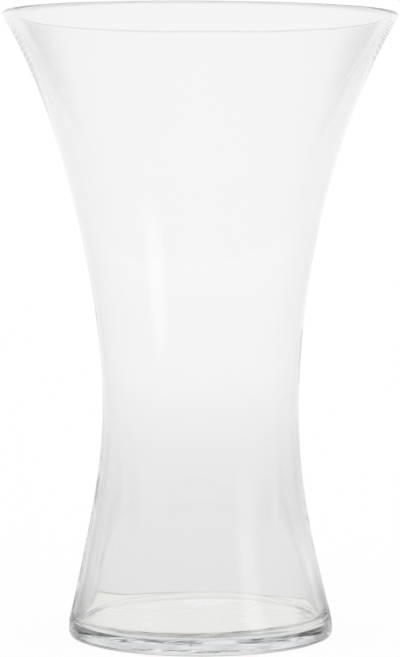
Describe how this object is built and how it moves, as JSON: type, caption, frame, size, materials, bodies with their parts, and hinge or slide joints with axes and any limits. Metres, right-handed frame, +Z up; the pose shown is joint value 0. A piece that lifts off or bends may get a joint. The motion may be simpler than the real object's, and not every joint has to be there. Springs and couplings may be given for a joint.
{
  "type": "trumpet vase",
  "caption": "Tall clear glass trumpet vase with a narrow waist, a wide flared mouth, a thick floor and a slightly spreading foot.",
  "frame": {"origin": "on the axis of the vase, in the plane that it stands on", "axes": "+Z up the axis towards the mouth; X and Y are alike, because the vase is round"},
  "size_m": [0.1892, 0.1892, 0.3],
  "materials": {
    "clear_glass": "polished"
  },
  "bodies": {
    "root": {"glass_vase": "clear_glass"}
  },
  "joints": []
}
